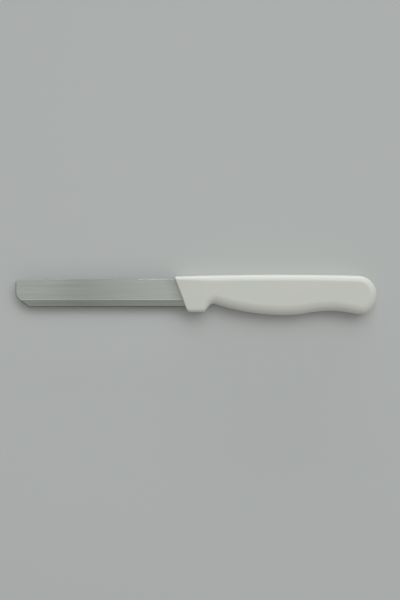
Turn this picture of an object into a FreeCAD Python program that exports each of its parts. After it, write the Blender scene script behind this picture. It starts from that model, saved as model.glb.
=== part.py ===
import FreeCAD, Part
import math
import os

from FreeCAD import Vector

# Small kitchen knife with a round-tipped, straight-edged blade and a moulded plastic handle.
#
# Frame, in millimetres: the knife lies on its side on Z = 0. +X runs from the blade's tip to
# the handle's butt, +Y from the cutting edge to the spine, +Z up through the thickness.
# X = 0 is half the overall length, and Y = 0 is half the handle's height.

# Driving dimensions, overall
blade_exposed = 92.4           # along the spine, from the tip to the handle
handle_length = 117.6          # along the spine, from its front corner to the butt
handle_height = 23.5           # from the spine's crest to the belly
handle_thickness = 12.0        # across the two flat sides

# Handle, side outline
crest_from_butt = 56.0
spine_radius = 1650.0
butt_upper_radius = 11.1
butt_lower_radius = 12.5
butt_corner_radius = 7.3
butt_corner_angle = 48.0       # degrees below level where the butt's lower corner begins
swell_radius = 25.0            # the outline between the butt's lower corner and the waist
waist_from_butt = 26.8
waist_rise = 2.5               # above the belly
belly_from_butt = 53.0
belly_front_radius = 132.0     # the long arc from the belly to the finger recess
recess_radius = 3.2
guard_rise = 1.8               # the guard's bottom above the belly
guard_length = 9.7             # along its bottom, measured to the square corners
guard_rear_lean = 37.4         # degrees from upright
guard_heel_radius = 2.4
guard_nose_radius = 5.5
guard_nose_turn = 26.0         # degrees that the guard's bottom turns up towards the front
front_lean = 20.9              # degrees from upright

# Handle, thickness and edge rounding
taper_length = 24.6            # the front stretch where both sides draw in
taper_depth = 1.3              # per side, at the very front
spine_edge_front = 2.0
spine_edge_rear = 3.8
butt_edge = 4.6
belly_edge = 5.6
recess_edge = 5.4
guard_edge = 2.2
front_edge = 0.9

# Blade
blade_thickness = 1.2
edge_above_guard = 2.9         # the cutting edge above the guard's bottom
blade_height_tip = 15.8
blade_height_heel = 16.4
spine_corner_radius = 1.8
tip_radius = 4.0
tip_slope = 39.0               # degrees from level, of the cut-off lower corner
tip_slope_length = 7.5         # along X, measured to the square corners
tip_to_edge_radius = 2.0
broken_edge = 0.22             # rounding of the blade's spine and tip edges
bevel_height = 4.0
honed_height = 0.6
honed_thickness = 0.36         # where the honed edge begins
edge_land = 0.04

# Tang, hidden in the handle
heel_inset = 3.0               # the blade's full height inside the handle's front
tang_length = 62.0             # behind the handle's front corner
tang_height = 9.6
tang_below_spine = 2.2
tang_inner_radius = 1.5
tang_end_radius = 3.5
tang_hole_diameter = 4.5
tang_hole_count = 3
tang_first_hole = 20.0         # behind the handle's front corner
tang_hole_pitch = 16.0

# Worked out from the driving dimensions
overall_length = blade_exposed + handle_length
tip_x = -overall_length / 2
butt_x = overall_length / 2
front_top_x = butt_x - handle_length
middle_z = handle_thickness / 2
belly_y = -handle_height / 2
crest = Vector(butt_x - crest_from_butt, handle_height / 2, 0)
spine_centre = crest - Vector(0, spine_radius, 0)
guard_y = belly_y + guard_rise
edge_y = guard_y + edge_above_guard
spine_heel_y = edge_y + blade_height_heel


def along(start, degrees, distance):
    """The point at a distance from start, in the direction given by its angle from +X."""
    angle = math.radians(degrees)
    return start + Vector(math.cos(angle), math.sin(angle), 0) * distance


def spine_point(x):
    """The point of the handle's spine arc at x."""
    return Vector(x, spine_centre.y + math.sqrt(spine_radius ** 2 - (x - spine_centre.x) ** 2), 0)


front_top = spine_point(front_top_x)


def front_x(y):
    """Where the handle's leaning front face is at height y."""
    return front_top.x + (front_top.y - y) * math.tan(math.radians(front_lean))


def arc(start, centre, end):
    """The shorter arc from start to end around centre."""
    radius = (start - centre).Length
    towards = (start + end) / 2 - centre
    towards.normalize()
    return Part.Arc(start, centre + towards * radius, end).toShape()


def level_curve(start, start_radius, end):
    """Two tangent arcs from start to end, level at both, the first with the radius given."""
    step = end - start
    up = math.copysign(1, step.y)
    end_radius = step.Length ** 2 / (2 * abs(step.y)) - start_radius
    start_centre = start + Vector(0, up * start_radius, 0)
    end_centre = end - Vector(0, up * end_radius, 0)
    between = end_centre - start_centre
    between.normalize()
    join = start_centre + between * start_radius
    return [arc(start, start_centre, join), arc(join, end_centre, end)]


def line_meets_circle(start, degrees, centre, radius):
    """Where a line from outside a circle first meets it."""
    direction = along(Vector(), degrees, 1)
    to_middle = (centre - start).dot(direction)
    half_chord = math.sqrt(to_middle ** 2 - (centre - start).Length ** 2 + radius ** 2)
    return start + direction * (to_middle - half_chord)


def upright_edges(shape, corner):
    """The edges of an extruded plate that stand on one corner of its outline."""
    found = []
    for edge in shape.Edges:
        if all(math.hypot(v.X - corner.x, v.Y - corner.y) < 1e-4 for v in edge.Vertexes):
            found.append(edge)
    return found


def rounded_plate(corners, thickness):
    """A plate from (corner, radius) pairs in order, its upright edges rounded to the radius."""
    points = [corner for corner, radius in corners]
    plate = Part.Face(Part.makePolygon(points + points[:1])).extrude(Vector(0, 0, thickness))
    for corner, radius in corners:
        if radius:
            plate = plate.makeFillet(radius, upright_edges(plate, corner))
    return plate


def heel_x(y):
    """Where the blade's full height ends, inside the handle, at height y."""
    return front_x(y) + heel_inset / math.cos(math.radians(front_lean))


def bevel_tool(side):
    """The stock that grinding takes off one side of the edge; side is 1 above, -1 below."""
    slope = (honed_thickness - edge_land) / 2 / honed_height
    below = honed_height
    profile = [
        (bevel_height, blade_thickness / 2),
        (honed_height, honed_thickness / 2),
        (-below, honed_thickness / 2 - slope * (honed_height + below)),
        (-below, blade_thickness),
        (bevel_height, blade_thickness),
    ]
    start_x = tip_x - below
    points = [Vector(start_x, edge_y + up, middle_z + side * out) for up, out in profile]
    run = heel_x(edge_y) + below - start_x
    return Part.Face(Part.makePolygon(points + points[:1])).extrude(Vector(run, 0, 0))


def make_blade():
    """Blade and tang, one stamped and ground strip."""
    tang_top = spine_heel_y - tang_below_spine
    tang_bottom = tang_top - tang_height
    tang_end = front_top_x + tang_length
    slope_rise = tip_slope_length * math.tan(math.radians(tip_slope))
    corners = [
        (Vector(tip_x, edge_y + blade_height_tip, 0), spine_corner_radius),
        (Vector(heel_x(spine_heel_y), spine_heel_y, 0), 0),
        (Vector(heel_x(tang_top), tang_top, 0), tang_inner_radius),
        (Vector(tang_end, tang_top, 0), tang_end_radius),
        (Vector(tang_end, tang_bottom, 0), tang_end_radius),
        (Vector(heel_x(tang_bottom), tang_bottom, 0), tang_inner_radius),
        (Vector(heel_x(edge_y), edge_y, 0), 0),
        (Vector(tip_x + tip_slope_length, edge_y, 0), tip_to_edge_radius),
        (Vector(tip_x, edge_y + slope_rise, 0), tip_radius),
    ]
    plate = rounded_plate(corners, blade_thickness)
    rims = []
    for edge in plate.Edges:
        upright = edge.BoundBox.ZLength > blade_thickness / 2
        if not upright and edge.BoundBox.XMin < front_top_x:
            rims.append(edge)
    plate = plate.makeFillet(broken_edge, rims)
    plate.translate(Vector(0, 0, middle_z - blade_thickness / 2))
    for index in range(tang_hole_count):
        x = front_top_x + tang_first_hole + index * tang_hole_pitch
        foot = Vector(x, (tang_top + tang_bottom) / 2, 0)
        plate = plate.cut(Part.makeCylinder(tang_hole_diameter / 2, handle_thickness, foot))
    for side in (1, -1):
        plate = plate.cut(bevel_tool(side))
    return plate


class HandleOutline:
    """The handle seen from its side: tangent arcs round the grip, and the guard's lines."""

    def __init__(self):
        upper_centre = Vector(butt_x - butt_upper_radius, 0, 0)
        reach = spine_radius - butt_upper_radius
        aside = upper_centre.x - spine_centre.x
        upper_centre.y = spine_centre.y + math.sqrt(reach ** 2 - aside ** 2)
        self.spine_end = spine_centre + (upper_centre - spine_centre) * (spine_radius / reach)
        self.butt = Vector(butt_x, upper_centre.y, 0)
        lower_centre = self.butt - Vector(butt_lower_radius, 0, 0)
        corner_start = along(lower_centre, -butt_corner_angle, butt_lower_radius)
        corner_inset = butt_lower_radius - butt_corner_radius
        corner_centre = along(lower_centre, -butt_corner_angle, corner_inset)
        self.swell = corner_centre - Vector(0, butt_corner_radius, 0)
        self.waist = Vector(butt_x - waist_from_butt, belly_y + waist_rise, 0)
        self.belly = Vector(butt_x - belly_from_butt, belly_y, 0)
        belly_centre = self.belly + Vector(0, belly_front_radius, 0)
        belly_rear_radius = (self.waist - self.belly).Length ** 2 / (4 * waist_rise)

        self.heel = Vector(front_x(guard_y) + guard_length, guard_y, 0)
        guard_rear = 90 - guard_rear_lean
        self.recess = line_meets_circle(self.heel, guard_rear, belly_centre, belly_front_radius)
        turn = math.radians(guard_nose_turn)
        nose_top_y = guard_y + guard_nose_radius * (1 - math.cos(turn))
        nose_top = Vector(front_x(nose_top_y), nose_top_y, 0)
        nose_start = Vector(nose_top.x + guard_nose_radius * math.sin(turn), guard_y, 0)
        nose_centre = nose_start + Vector(0, guard_nose_radius, 0)

        edges = [arc(front_top, spine_centre, self.spine_end)]
        edges.append(arc(self.spine_end, upper_centre, self.butt))
        edges.append(arc(self.butt, lower_centre, corner_start))
        edges.append(arc(corner_start, corner_centre, self.swell))
        edges += level_curve(self.swell, swell_radius, self.waist)
        edges += level_curve(self.waist, belly_rear_radius, self.belly)
        edges.append(arc(self.belly, belly_centre, self.recess))
        edges.append(Part.makeLine(self.recess, self.heel))
        edges.append(Part.makeLine(self.heel, nose_start))
        edges.append(arc(nose_start, nose_centre, nose_top))
        edges.append(Part.makeLine(nose_top, front_top))
        self.wire = Part.Wire(edges)

    def edge_radius(self, point):
        """The rounding of the handle's long edges at a point of the outline."""
        if point.y > self.butt.y:
            stations = [
                (front_top_x, spine_edge_front),
                (front_top_x + taper_length, spine_edge_rear),
                (self.spine_end.x, spine_edge_rear),
                (self.butt.x, butt_edge),
            ]
        else:
            stations = [
                (self.heel.x + guard_heel_radius / 2, guard_edge),
                (self.recess.x + recess_radius / 2, recess_edge),
                (self.belly.x, belly_edge),
                (self.waist.x, belly_edge),
                (self.swell.x, butt_edge),
            ]
        return interpolated(point.x, stations)


def interpolated(x, stations):
    """The value at x between (x, value) pairs in order, and the nearest one beyond them."""
    if x <= stations[0][0]:
        return stations[0][1]
    for (x0, value0), (x1, value1) in zip(stations, stations[1:]):
        if x <= x1:
            return value0 + (value1 - value0) * (x - x0) / (x1 - x0)
    return stations[-1][1]


def thickness_profile():
    """The handle seen from above its spine: flat sides that draw in towards the front."""
    taper_start_x = front_top_x + taper_length
    taper_radius = (taper_length ** 2 + taper_depth ** 2) / (2 * taper_depth)
    beyond = taper_depth
    drawn_in = taper_radius - math.sqrt(taper_radius ** 2 - (taper_length + beyond) ** 2)
    upper_start = Vector(taper_start_x, 0, handle_thickness)
    upper_front = Vector(front_top_x - beyond, 0, handle_thickness - drawn_in)
    upper_rear = Vector(butt_x + beyond, 0, handle_thickness)
    lower_start = Vector(taper_start_x, 0, 0)
    lower_front = Vector(front_top_x - beyond, 0, drawn_in)
    lower_rear = Vector(butt_x + beyond, 0, 0)
    return Part.Wire([
        arc(upper_front, upper_start - Vector(0, 0, taper_radius), upper_start),
        Part.makeLine(upper_start, upper_rear),
        Part.makeLine(upper_rear, lower_rear),
        Part.makeLine(lower_rear, lower_start),
        arc(lower_start, lower_start + Vector(0, 0, taper_radius), lower_front),
        Part.makeLine(lower_front, upper_front),
    ])


def middle_normal(face):
    """The outward normal at the middle of a face."""
    u0, u1, v0, v1 = face.ParameterRange
    return face.normalAt((u0 + u1) / 2, (v0 + v1) / 2)


def is_front(face):
    """Whether a face of the handle is its leaning front."""
    return middle_normal(face).dot(along(Vector(), 180 + front_lean, 1)) > 0.999


def is_side(face):
    """Whether a face of the handle is one of its two sides, tapered stretch included."""
    return abs(middle_normal(face).z) > 0.9


def flat_distance(a, b):
    """The distance between two points seen from the side."""
    return math.hypot(a.x - b.x, a.y - b.y)


def rim(body, above):
    """One side's edge numbers in order round the outline from the front, with their ends."""
    rest = []
    for number, edge in enumerate(body.Edges, 1):
        faces = body.ancestorsOfType(edge, Part.Face)
        sides = [face for face in faces if is_side(face)]
        fronts = [face for face in faces if is_front(face)]
        if len(sides) == 1 and not fronts and (edge.CenterOfMass.z > middle_z) == above:
            rest.append((number, [edge.valueAt(at) for at in edge.ParameterRange]))
    ordered = []
    corner = front_top
    while rest:
        rest.sort(key=lambda item: min(flat_distance(end, corner) for end in item[1]))
        number, ends = rest.pop(0)
        near, far = sorted(ends, key=lambda end: flat_distance(end, corner))
        ordered.append((number, near, far))
        corner = far
    return ordered


def round_rims(body, outline):
    """Rounds the handle's long edges with a radius that changes along them."""
    roundings = []
    for above in (False, True):
        ordered = rim(body, above)
        lead = body.Edges[ordered[0][0] - 1]
        forwards = flat_distance(lead.valueAt(lead.FirstParameter), front_top) < 1e-4
        for number, near, far in ordered:
            radii = (outline.edge_radius(near), outline.edge_radius(far))
            # A chain of fillets runs the way that its first edge does.
            roundings.append((number, *(radii if forwards else radii[::-1])))
    document = FreeCAD.newDocument()
    source = document.addObject("Part::Feature", "source")
    source.Shape = body
    fillet = document.addObject("Part::Fillet", "fillet")
    fillet.Base = source
    fillet.Edges = roundings
    document.recompute()
    return fillet.Shape.Solids[0]


def make_handle(blade):
    """The grip and guard, moulded in one piece round the tang and through its holes."""
    outline = HandleOutline()
    plan = Part.Face(outline.wire).extrude(Vector(0, 0, handle_thickness))
    plan = plan.makeFillet(recess_radius, upright_edges(plan, outline.recess))
    plan = plan.makeFillet(guard_heel_radius, upright_edges(plan, outline.heel))
    profile = Part.Face(thickness_profile()).extrude(Vector(0, 2 * handle_height, 0))
    profile.translate(Vector(0, -handle_height, 0))
    body = round_rims(plan.common(profile).Solids[0], outline)
    fronts = [face for face in body.Faces if is_front(face)]
    front = max(fronts, key=lambda face: face.Area)
    loop = [edge for edge in body.Edges if any(edge.isSame(one) for one in front.OuterWire.Edges)]
    body = body.makeFillet(front_edge, loop)
    return body.cut(blade)


os.makedirs("parts", exist_ok=True)
blade = make_blade()
blade.Solids[0].exportStep("parts/blade.step")
make_handle(blade).Solids[0].exportStep("parts/handle.step")
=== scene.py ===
import math

import bmesh
import bpy
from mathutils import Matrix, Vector


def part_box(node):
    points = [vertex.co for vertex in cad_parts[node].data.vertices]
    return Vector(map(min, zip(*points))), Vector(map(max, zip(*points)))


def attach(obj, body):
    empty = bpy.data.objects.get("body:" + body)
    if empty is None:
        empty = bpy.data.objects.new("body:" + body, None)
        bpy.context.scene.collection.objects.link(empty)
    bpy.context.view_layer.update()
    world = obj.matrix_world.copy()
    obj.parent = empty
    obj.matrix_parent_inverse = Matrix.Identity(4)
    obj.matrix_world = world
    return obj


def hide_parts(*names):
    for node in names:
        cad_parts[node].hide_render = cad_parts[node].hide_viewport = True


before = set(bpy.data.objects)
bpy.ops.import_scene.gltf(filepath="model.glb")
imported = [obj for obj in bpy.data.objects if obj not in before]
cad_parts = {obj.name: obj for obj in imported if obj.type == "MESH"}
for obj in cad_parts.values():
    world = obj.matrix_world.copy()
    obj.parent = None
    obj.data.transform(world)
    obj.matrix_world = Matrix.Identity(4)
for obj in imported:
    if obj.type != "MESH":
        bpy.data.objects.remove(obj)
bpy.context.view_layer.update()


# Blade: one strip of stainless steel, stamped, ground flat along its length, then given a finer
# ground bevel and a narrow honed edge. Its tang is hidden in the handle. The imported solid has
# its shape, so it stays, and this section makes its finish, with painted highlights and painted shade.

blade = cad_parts["blade"]
blade_low, blade_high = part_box("blade")
tip_x = blade_low.x
edge_y = blade_low.y
shoulder_y = edge_y + 0.0040     # where the bevel starts
slope_foot_x = tip_x + 0.0075    # where the tip's cut-off corner would meet the edge
slope_angle = math.radians(39)
spine_tip_y = edge_y + 0.0158
spine_run = 0.0961               # the length over which the spine rises to its full height
spine_slope = (blade_high.y - spine_tip_y) / spine_run
handle_low, handle_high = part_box("handle")
handle_length = 0.1176
front_lean = math.radians(20.9)
front_top_x = handle_high.x - handle_length
front_drop = 0.00115             # the handle's front corner below the crest of its spine
front_top_y = handle_high.y - front_drop
fade_length = 0.046              # the steel is palest at the tip and darkens over this length
steel_flat_dark = (0.704, 0.723, 0.683, 1)
steel_flat_pale = (0.814, 0.836, 0.789, 1)
# A painted highlight: a pale line just above the bevel's shoulder.
shoulder_highlight = (0.884, 0.907, 0.857, 1)
# The bevel's steel is painted darker than the flat's: a painted reflection of the darker surroundings
# that its slope mirrors. It is darker still just under the shoulder.
shaded_bevel_dark = (0.522, 0.546, 0.496, 1)
shaded_bevel_pale = (0.650, 0.681, 0.620, 1)
flat_behind_tip = (0.64, 0.64, 0.64, 1)
bevel_behind_tip = (0.73, 0.73, 0.73, 1)
# Painted shade along the blade's outline.
rim_shade = (0.45, 0.46, 0.42, 1)
# Painted shade on the spine's rim, away from the handle.
spine_shade = (0.55, 0.55, 0.55, 1)
shadow_by_handle = (0.84, 0.84, 0.83, 1)
lines_on_flat = 0.85             # how far the grinding lines go from the dark to the pale steel
lines_on_bevel = 0.6
steel_roughness = 0.27
rougher_lines = 0.06
rougher_haze = 0.06
smoother_bevel = 0.04
line_depth = 0.000006

# Where each part of the finish, and each painted highlight and painted shade, fades, from the first
# distance or height to the second.
bevel_top = (shoulder_y - 0.00010, shoulder_y + 0.00002)
highlight_above_shoulder = (shoulder_y + 0.00030, shoulder_y + 0.00080)
shoulder_foot = (shoulder_y - 0.00090, shoulder_y - 0.00030)
handle_shade = (0.0005, 0.0090)  # off the handle, where the painted shadow that the handle casts on the flat fades
spine_shade_start = (0.019, 0.024)      # off the handle, where the spine's rim turns from its highlight to painted shade
rim_shade_width = (0.00035, 0.00060)
spine_width = (0.00020, 0.00032)
tip_rounding = 0.0023            # how softly the rim turns from the tip's end to its slope
foot_rounding = 0.0007           # and from the slope to the edge


class Reading:
    """What a finish reads at each point of a surface. Sums on it add their Math nodes."""

    def __init__(self, finish, socket):
        self.finish = finish
        self.socket = socket

    def sum(self, operation, *values):
        sockets = dict(zip(("Value", "Value_001", "Value_002"), values))
        return self.finish.node("ShaderNodeMath", {"operation": operation}, sockets)

    def __add__(self, other):
        return self.sum("ADD", self, other)

    def __sub__(self, other):
        return self.sum("SUBTRACT", self, other)

    def __rsub__(self, other):
        return self.sum("SUBTRACT", other, self)

    def __mul__(self, other):
        return self.sum("MULTIPLY", self, other)

    __radd__ = __add__
    __rmul__ = __mul__


class Finish:
    """A material made node by node round one Principled shader."""

    def __init__(self, name, constants):
        self.material = bpy.data.materials.new(name)
        self.material.use_nodes = True
        self.nodes = self.material.node_tree.nodes
        self.links = self.material.node_tree.links
        self.shader = self.nodes["Principled BSDF"]
        for socket, value in constants.items():
            self.shader.inputs[socket].default_value = value

    def node(self, kind, settings=None, sockets=None, give=0):
        """Adds a node: its settings first, then values or readings for its sockets."""
        made = self.nodes.new(kind)
        for name, value in (settings or {}).items():
            setattr(made, name, value)
        inputs = {socket.identifier: socket for socket in made.inputs}
        for name, value in (sockets or {}).items():
            if isinstance(value, Reading):
                self.links.new(value.socket, inputs[name])
            else:
                inputs[name].default_value = value
        return Reading(self, made.outputs[give])

    def place(self):
        return self.node("ShaderNodeTexCoord", give="Object")

    def along(self, axis):
        return self.node("ShaderNodeSeparateXYZ", None, {"Vector": self.place()}, give=axis)

    def grain(self, size, detail=2.0):
        """Noise from 0 to 1 whose grains are size metres long on each axis."""
        sockets = {"Vector": self.place(), "Scale": [1 / length for length in size]}
        placed = self.node("ShaderNodeMapping", {"vector_type": "POINT"}, sockets)
        return self.node("ShaderNodeTexNoise", None, {"Vector": placed, "Scale": 1.0, "Detail": detail})

    def rise(self, value, start, end):
        """0 up to start, 1 from end on, and a smooth rise between them."""
        sockets = {"Value": value, "From Min": start, "From Max": end}
        return self.node("ShaderNodeMapRange", {"interpolation_type": "SMOOTHSTEP"}, sockets)

    def shade(self, share, first, second, blend="MIX"):
        """A colour that goes from the first to the second as share goes from 0 to 1."""
        settings = {"data_type": "RGBA", "blend_type": blend}
        sockets = {"Factor_Float": share, "A_Color": first, "B_Color": second}
        return self.node("ShaderNodeMix", settings, sockets, give=2)

    def relief(self, height, depth):
        """Bumps as high as depth, in metres, where height is 1."""
        return self.node("ShaderNodeBump", None, {"Height": height, "Distance": depth})

    def put(self, socket, reading):
        self.links.new(reading.socket, self.shader.inputs[socket])


steel = Finish("ground_steel", {"Metallic": 1.0})
length = steel.along("X")
height = steel.along("Y")
on_bevel = 1 - steel.rise(height, *bevel_top)
on_shoulder_highlight = 1 - steel.rise(height, *highlight_above_shoulder)
below_shoulder = steel.rise(height, *shoulder_foot)
fine_lines = steel.grain((0.030, 0.00022, 0.00022), detail=1.0)
broad_lines = steel.grain((0.080, 0.0012, 0.0012))
haze = steel.grain((0.022, 0.009, 0.009), detail=3.0)
lines = steel.rise(fine_lines * 0.5 + broad_lines * 0.5, 0.30, 0.70)
flat_colour = steel.shade(lines * lines_on_flat, steel_flat_dark, steel_flat_pale)
# The painted highlight along the shoulder.
flat_colour = steel.shade(on_shoulder_highlight, flat_colour, shoulder_highlight)
to_handle = (front_top_y - height) * math.tan(front_lean) + front_top_x - length
# A painted shadow on the flat next to the handle.
in_handle_shadow = 1 - steel.rise(to_handle, *handle_shade)
flat_colour = steel.shade(in_handle_shadow, flat_colour, shadow_by_handle, "MULTIPLY")
# The bevel in painted shade, darker than the flat and darkest just under the shoulder.
bevel_share = lines * lines_on_bevel + (1 - lines_on_bevel) - below_shoulder * lines_on_bevel
shaded_bevel_colour = steel.shade(bevel_share, shaded_bevel_dark, shaded_bevel_pale)
past_tip = steel.rise(length, tip_x, tip_x + fade_length)
flat_colour = steel.shade(past_tip, flat_colour, flat_behind_tip, "MULTIPLY")
shaded_bevel_colour = steel.shade(past_tip, shaded_bevel_colour, bevel_behind_tip, "MULTIPLY")
ground = steel.shade(on_bevel, flat_colour, shaded_bevel_colour)

# Painted shade: a dark line along the outline's rim, at the honed edge, the cut-off corner and the
# tip's end. The spine's rim is painted dark too, except near the handle, where its highlight stays.
from_end = length - tip_x
from_slope = (length - slope_foot_x) * math.sin(slope_angle) + (height - edge_y) * math.cos(slope_angle)
from_tip = from_end.sum("SMOOTH_MIN", from_end, from_slope, tip_rounding)
inside = from_tip.sum("SMOOTH_MIN", from_tip, height - edge_y, foot_rounding)
on_shaded_rim = 1 - steel.rise(inside, *rim_shade_width)
# The spine's rim in painted shade, except near the handle.
below_spine = (length - tip_x) * spine_slope + spine_tip_y - height
on_spine = 1 - steel.rise(below_spine, *spine_width)
spine_in_shade = steel.rise(to_handle, *spine_shade_start)
ground = steel.shade(on_shaded_rim, ground, rim_shade, "MULTIPLY")
steel.put("Base Color", steel.shade(on_spine * spine_in_shade, ground, spine_shade, "MULTIPLY"))
roughness = steel_roughness + lines * rougher_lines + haze * rougher_haze
steel.put("Roughness", roughness - on_bevel * smoother_bevel)
steel.put("Normal", steel.relief(fine_lines, line_depth))
blade.material_slots[0].material = steel.material


# Handle: grip, finger guard and butt, moulded in one shot of white plastic round the tang. Its
# outline is a chain of arcs, its long edges are rounded more towards the belly, and both sides
# draw in towards the blade. A fine line round its middle is where the mould's halves met.

crest_from_butt = 0.0560
spine_radius = 1.650
spine_front_steps = 28
front_rounding = 0.0009
front_segments = 6
taper_length = 0.0246
taper_radius = 0.2334
taper_cut_spacing = 0.0015
rim_segments = 14
longest_step = 0.015             # of the outline's edges, apart from its straight front

# The roundings of the long edges, as (distance behind the front's top corner, radius).
spine_rims = (
    (0.0, 0.0020), (taper_length, 0.0038), (0.1068, 0.0038), (handle_length, 0.0046))
belly_rims = (
    (0.0105, 0.0019), (0.0150, 0.0022), (0.0188, 0.0022), (0.0233, 0.0054),
    (0.0646, 0.0056), (0.0908, 0.0056), (0.1086, 0.0046))

lit_margin = 0.00008
slot_gap = 0.00006
slot_depth = 0.0006
slot_half_at_edge = 0.00010
parting_half_width = 0.00006
parting_depth = 0.00004
parting_slope = 0.00002
closing_gap = 0.00002            # at which the outline's two ends are joined
same_way = 0.9999                # the cosine between normals that count as one
upright = 0.02                   # the most that an upright wall's normal rises
off_the_front = 0.985            # the cosine from which a wall belongs to the flat front
same_place = 1e-7
sharp_from = math.radians(35)
plastic_cool = (0.662, 0.673, 0.617, 1)
plastic_warm = (0.702, 0.696, 0.643, 1)
plastic_roughness = 0.28
rougher_rub = 0.08
rougher_pebble = 0.05
pebble_depth = 0.000008

# The outline's runs from the crest of the spine, round the butt and on to the guard's nose, as
# (radius in millimetres, turn in degrees, steps). A turn to the right is negative. A run with
# no turn is straight, and its length stands in the radius's place.
outline_runs = (
    (spine_radius * 1000, -1.5699, 23),   # spine, behind its crest
    (11.1, -88.4301, 48),        # butt, upper half
    (12.5, -48.0, 26),           # butt, lower half
    (7.3, -42.0, 23),            # butt's lower corner
    (25.0, -12.069, 8),          # swell
    (60.033, 12.069, 8),         # rear of the waist
    (69.269, 10.9013, 8),        # front of the waist
    (69.269, -10.9013, 8),       # rear of the belly
    (132.0, -18.005, 21),        # front of the belly
    (3.2, 70.605, 38),           # finger recess
    (3.296, 0.0, 8),             # rear of the guard
    (2.4, -52.6, 28),            # guard's heel
    (6.31, 0.0, 4),              # guard's bottom
    (5.5, -10.0, 5),             # guard's nose
    (5.5, -16.0, 1),             # the nose's last stretch, as wide as the front's rounding
)


def only(kind, items):
    return [item for item in items if isinstance(item, kind)]


def handle_outline(bm):
    """The closed outline of arcs and short straights, spun run by run, as one face."""
    crest = Vector((handle_high.x - crest_from_butt, handle_high.y, handle_low.z))
    end = bm.verts.new(crest)
    heading = 0.0
    for size, turn, steps in outline_runs:
        ahead = Vector((math.cos(heading), math.sin(heading), 0))
        length = size / 1000
        if turn:
            side = math.copysign(1, turn)
            centre = end.co + Vector((-ahead.y, ahead.x, 0)) * side * length
            spun = bmesh.ops.spin(
                bm, geom=[end], cent=centre, axis=(0, 0, side), dvec=(0, 0, 0),
                angle=math.radians(abs(turn)), steps=steps, use_duplicate=False)
            end = only(bmesh.types.BMVert, spun["geom_last"])[0]
            heading += math.radians(turn)
        else:
            for step in range(steps):
                end = bmesh.ops.extrude_vert_indiv(bm, verts=[end])["verts"][0]
                bmesh.ops.translate(bm, verts=[end], vec=ahead * length / steps)
    back = crest.x - front_top_x
    drop = spine_radius - math.sqrt(spine_radius ** 2 - back ** 2)
    up_the_front = Vector((front_top_x, crest.y - drop, crest.z)) - end.co
    end = bmesh.ops.extrude_vert_indiv(bm, verts=[end])["verts"][0]
    bmesh.ops.translate(bm, verts=[end], vec=up_the_front)
    bmesh.ops.spin(
        bm, geom=[end], cent=crest - Vector((0, spine_radius, 0)), axis=(0, 0, -1),
        dvec=(0, 0, 0), angle=math.asin(back / spine_radius), steps=spine_front_steps,
        use_duplicate=False)
    bmesh.ops.remove_doubles(bm, verts=bm.verts, dist=closing_gap)
    return bmesh.ops.contextual_create(bm, geom=bm.edges[:])["faces"]


def rim_at(point):
    """The rounding of the handle's long edges at a point of the outline."""
    stations = spine_rims if point.y > 0 else belly_rims
    behind = point.x - front_top_x
    for (start, first), (end, last) in zip(stations, stations[1:]):
        if behind <= end:
            return first + (last - first) * max(0, behind - start) / (end - start)
    return stations[-1][1]


def shown(name, bm):
    """A new object in the scene with a copy of the mesh."""
    mesh = bpy.data.meshes.new(name)
    bm.to_mesh(mesh)
    made = bpy.data.objects.new(name, mesh)
    bpy.context.scene.collection.objects.link(made)
    return made


def round_edges(bm, radii, segments):
    """Rounds edges, each with its own offset, from a dictionary of edge to offset."""
    widest = max(radii.values())
    share = bm.edges.layers.float["bevel_weight_edge"]
    for edge in bm.edges:
        edge[share] = radii.get(edge, 0) / widest
    plain = shown("plain", bm)
    rounding = plain.modifiers.new("rounding", "BEVEL")
    rounding.limit_method = "WEIGHT"
    rounding.width = widest
    rounding.segments = segments
    rounding.profile = 0.5
    rounding.use_clamp_overlap = False
    modelled = plain.evaluated_get(bpy.context.evaluated_depsgraph_get())
    rounded = bpy.data.meshes.new_from_object(modelled)
    bm.clear()
    bm.from_mesh(rounded)
    bm.normal_update()
    bpy.data.meshes.remove(rounded)
    bpy.data.objects.remove(plain)


def facing(bm, way):
    return [face for face in bm.faces if face.normal.dot(way) > same_way]


def cut(bm, faces, point, way):
    """Splits faces where a plane crosses them, and leaves the rest of the mesh alone."""
    geometry = set(faces)
    for face in faces:
        geometry.update(face.edges, face.verts)
    bmesh.ops.bisect_plane(bm, geom=list(geometry), dist=same_place, plane_co=point, plane_no=way)
    bm.normal_update()


middle = (handle_low.z + handle_high.z) / 2
up = Vector((0, 0, 1))
front_way = Vector((-math.cos(front_lean), -math.sin(front_lean), 0))

bm = bmesh.new()
bm.edges.layers.float.new("bevel_weight_edge")
face = handle_outline(bm)
grown = bmesh.ops.extrude_face_region(bm, geom=face)["geom"]
thickness = Vector((0, 0, handle_high.z - handle_low.z))
bmesh.ops.translate(bm, verts=only(bmesh.types.BMVert, grown), vec=thickness)
bmesh.ops.recalc_face_normals(bm, faces=bm.faces)
rims = {}
for edge in bm.edges:
    start, end = (vert.co for vert in edge.verts)
    if start.z == end.z and edge.calc_length() < longest_step:
        rims[edge] = (rim_at(start) + rim_at(end)) / 2
round_edges(bm, rims, rim_segments)

# The front's own edge is rounded last, right round, to one radius.
front = max(facing(bm, front_way), key=lambda face: face.calc_area())
radii = {edge: front_rounding * math.tan(edge.calc_face_angle() / 2) for edge in front.edges}
round_edges(bm, radii, front_segments)

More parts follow.
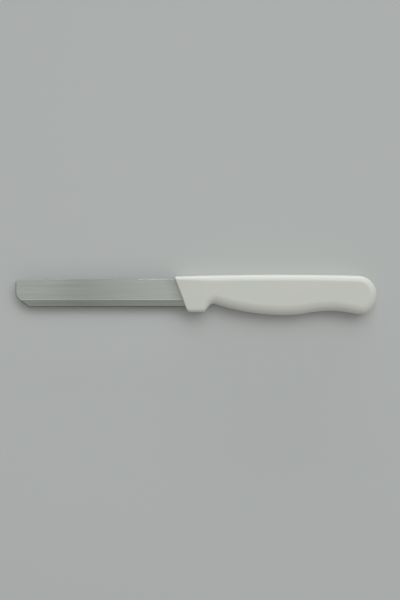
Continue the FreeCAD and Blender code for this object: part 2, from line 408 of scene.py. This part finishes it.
# Both sides draw in along an arc. A narrow margin keeps their middles flat where they are lit.
sides = facing(bm, up) + facing(bm, -up)
bmesh.ops.inset_region(bm, faces=sides, thickness=lit_margin, use_even_offset=True)
taper_start = front_top_x + taper_length
for step in range(math.ceil(taper_length / taper_cut_spacing)):
    across = (taper_start - step * taper_cut_spacing, 0, 0)
    cut(bm, facing(bm, up) + facing(bm, -up), across, (1, 0, 0))
for vert in bm.verts:
    ahead = taper_start - vert.co.x
    if ahead > 0:
        drawn_in = taper_radius - math.sqrt(taper_radius ** 2 - ahead ** 2)
        vert.co.z -= math.copysign(drawn_in, vert.co.z - middle)
bm.normal_update()


# The mould's parting line, a shallow groove round the handle's edge from one end of the flat
# front to the other.
def round_the_middle():
    walls = [face for face in bm.faces if abs(face.normal.z) < upright]
    return [face for face in walls if face.normal.dot(front_way) < off_the_front]


def height_off_middle(face):
    return abs(face.calc_center_median().z - middle)


for side in (1, -1):
    cut(bm, round_the_middle(), (0, 0, middle + side * parting_half_width), up)
line = [face for face in round_the_middle() if height_off_middle(face) < parting_half_width]
bmesh.ops.inset_region(
    bm, faces=line, thickness=parting_slope, depth=-parting_depth, use_even_offset=True)
bm.normal_update()

# The slot that the blade comes out of, a hair wider than the blade all round.
slot_half = (blade_high.z - blade_low.z) / 2 + slot_gap
slot_top = blade_high.y
slot_bottom = edge_y - slot_gap
for side in (1, -1):
    flank = (0, shoulder_y, middle + side * slot_half)
    lean = (0, slot_half - slot_half_at_edge, side * (slot_bottom - shoulder_y))
    cut(bm, facing(bm, front_way), flank, up)
    cut(bm, facing(bm, front_way), flank, lean)
for level in (slot_top, slot_bottom):
    cut(bm, facing(bm, front_way), (0, level, 0), (0, 1, 0))


def in_slot(face):
    height = face.calc_center_median().y
    share = min(1, max(0, (height - slot_bottom) / (shoulder_y - slot_bottom)))
    half = slot_half_at_edge + (slot_half - slot_half_at_edge) * share
    return slot_bottom < height < slot_top and height_off_middle(face) < half


mouth = [face for face in facing(bm, front_way) if in_slot(face)]
sunk = bmesh.ops.extrude_discrete_faces(bm, faces=mouth)["faces"]
corners = list({vert for face in sunk for vert in face.verts})
bmesh.ops.translate(bm, verts=corners, vec=-front_way * slot_depth)
bmesh.ops.remove_doubles(bm, verts=corners, dist=same_place)
bm.normal_update()

for face in bm.faces:
    face.smooth = True
for edge in bm.edges:
    edge.smooth = edge.calc_face_angle() < sharp_from
handle = shown("moulded_handle", bm)
bm.free()
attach(handle, "root")
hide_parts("handle")

plastic = Finish("moulded_white_plastic", {})
pebble = plastic.grain((0.00028, 0.00028, 0.00028))
flow = plastic.grain((0.030, 0.018, 0.018))
rub = plastic.grain((0.0015, 0.0015, 0.0015), detail=3.0)
plastic.put("Base Color", plastic.shade(flow, plastic_cool, plastic_warm))
plastic.put("Roughness", plastic_roughness + rub * rougher_rub + pebble * rougher_pebble)
plastic.put("Normal", plastic.relief(pebble, pebble_depth))
handle.data.materials.append(plastic.material)


# Table top: a plain pale surface that the knife lies on. It isn't part of the knife.

table_half = 2.0                 # from the knife to the table's sides
table_gap = 0.00002
table_look = {"Base Color": (0.573, 0.582, 0.571, 1), "Roughness": 0.8, "Specular IOR Level": 0.0}

bm = bmesh.new()
bmesh.ops.create_grid(bm, x_segments=1, y_segments=1, size=table_half)
bmesh.ops.translate(bm, verts=bm.verts, vec=(0, 0, handle_low.z - table_gap))
table_top = shown("table_top", bm)
bm.free()
matt = Finish("matt_table", table_look)
table_top.data.materials.append(matt.material)


# Light: a low soft panel on the spine's side, two high ones, turned towards the butt, a weak warm
# one on the edge's side, a small one overhead that the blade mirrors, and even light all round.

even_colour = (0.955, 0.973, 0.965, 1)
even_strength = 0.312


def panel(name, azimuth, elevation, distance, size, power, colour, spread=180):
    """A soft panel that faces the knife. Azimuth 0 is on the spine's side, 180 on the edge's."""
    lamp = bpy.data.lights.new(name, "AREA")
    lamp.shape = "RECTANGLE"
    lamp.size, lamp.size_y = size
    lamp.energy = power
    lamp.color = colour
    lamp.spread = math.radians(spread)
    made = bpy.data.objects.new(name, lamp)
    turn, rise = math.radians(azimuth), math.radians(elevation)
    way = Vector((math.sin(turn) * math.cos(rise), math.cos(turn) * math.cos(rise), math.sin(rise)))
    made.location = way * distance
    made.rotation_euler = (-way).to_track_quat("-Z", "Y").to_euler()
    made.visible_camera = False
    bpy.context.scene.collection.objects.link(made)


panel("low_window", 0, 4, 6.0, (7.5, 0.8), 190, (0.96, 0.995, 1.0))
panel("window", 30, 45, 6.0, (7.5, 3.0), 97, (0.94, 0.99, 1.0))
panel("high_window", 30, 62, 5.0, (6.0, 3.0), 68, (0.95, 1.0, 0.985))
panel("warm_side", 180, 35, 6.5, (8.0, 3.0), 26, (1.0, 0.76, 0.78))
panel("overhead", 0, 85, 0.45, (0.24, 0.30), 0.024, (0.95, 1.0, 0.98), 90)
world = bpy.data.worlds.new("even_light")
world.use_nodes = True
world.node_tree.nodes["Background"].inputs["Color"].default_value = even_colour
world.node_tree.nodes["Background"].inputs["Strength"].default_value = even_strength
bpy.context.scene.world = world


# Camera: straight above the knife, near the middle of its length.

camera_x = 0.00243
camera_y = -0.00297
camera_height = 0.450            # above the middle of the handle's thickness
nearest_seen = 0.01

camera_data = bpy.data.cameras.new("camera")
camera_data.lens = 46.32
camera_data.sensor_width = 36
camera_data.clip_start = nearest_seen
camera_data.dof.use_dof = False
camera = bpy.data.objects.new("camera", camera_data)
camera.location = (camera_x, camera_y, middle + camera_height)
bpy.context.scene.collection.objects.link(camera)
bpy.context.scene.camera = camera
bpy.context.scene.view_settings.view_transform = "Standard"
